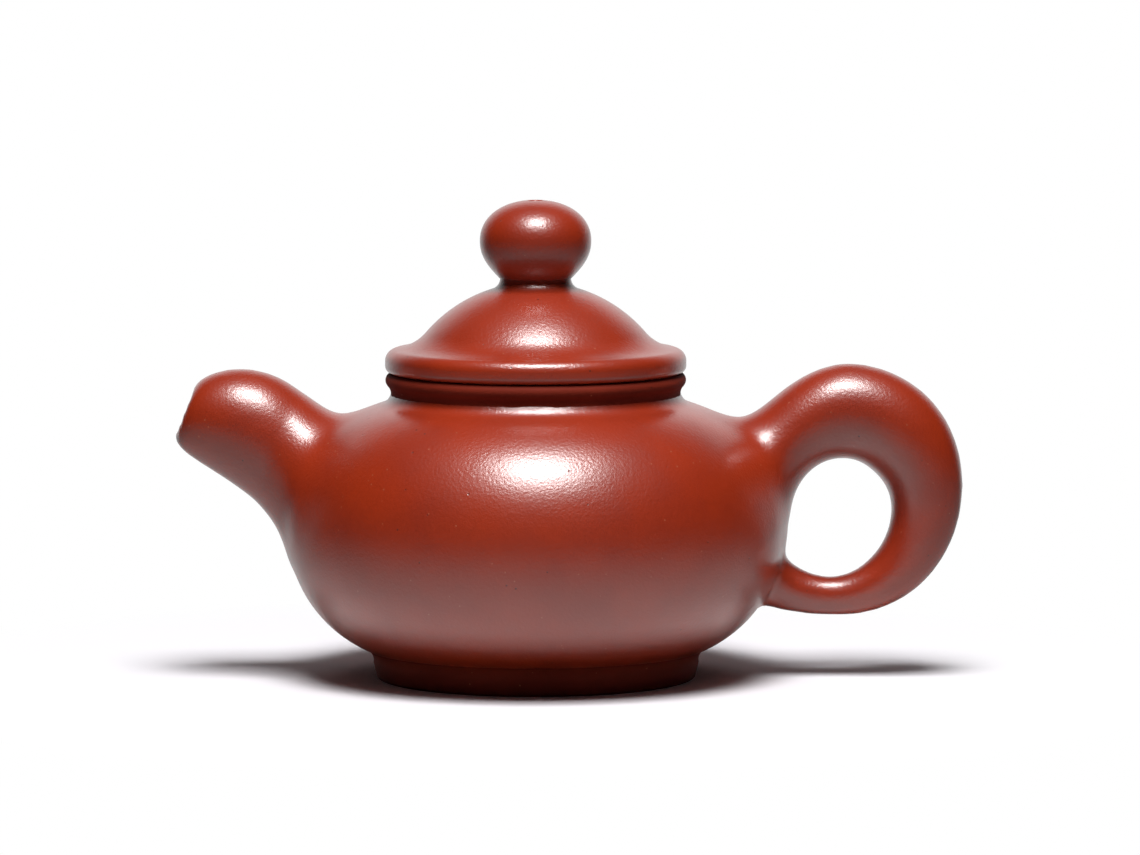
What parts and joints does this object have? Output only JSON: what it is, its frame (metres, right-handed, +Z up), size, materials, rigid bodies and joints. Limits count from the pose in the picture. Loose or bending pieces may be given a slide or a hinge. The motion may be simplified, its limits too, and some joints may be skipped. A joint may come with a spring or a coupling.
{
  "type": "clay teapot",
  "caption": "Low round stoneware teapot with a bent spout, a one-finger loop handle, a pierced strainer inside and a domed lift-off lid with a ball knob.",
  "frame": {"origin": "centre of the flat foot, on the pot's turning axis, at the height of the table", "axes": "+Z up along the turning axis, -X towards the spout's mouth, +X towards the handle, Y across"},
  "size_m": [0.1265, 0.08, 0.0769],
  "materials": {
    "clay": "satin"
  },
  "bodies": {
    "pot": {"body_wall": "clay", "base_disc": "clay", "top_slab": "clay", "foot_ring": "clay", "neck_ring": "clay", "spout": "clay", "strainer": "clay", "handle": "clay"},
    "lid": {"lid_dome": "clay", "lid_flange": "clay", "lid_knob": "clay"}
  },
  "joints": [
    {"name": "lid_lift", "type": "slide", "parent": "pot", "child": "lid", "axis": [0, 0, 1], "range_m": [0, 0.05]}
  ]
}
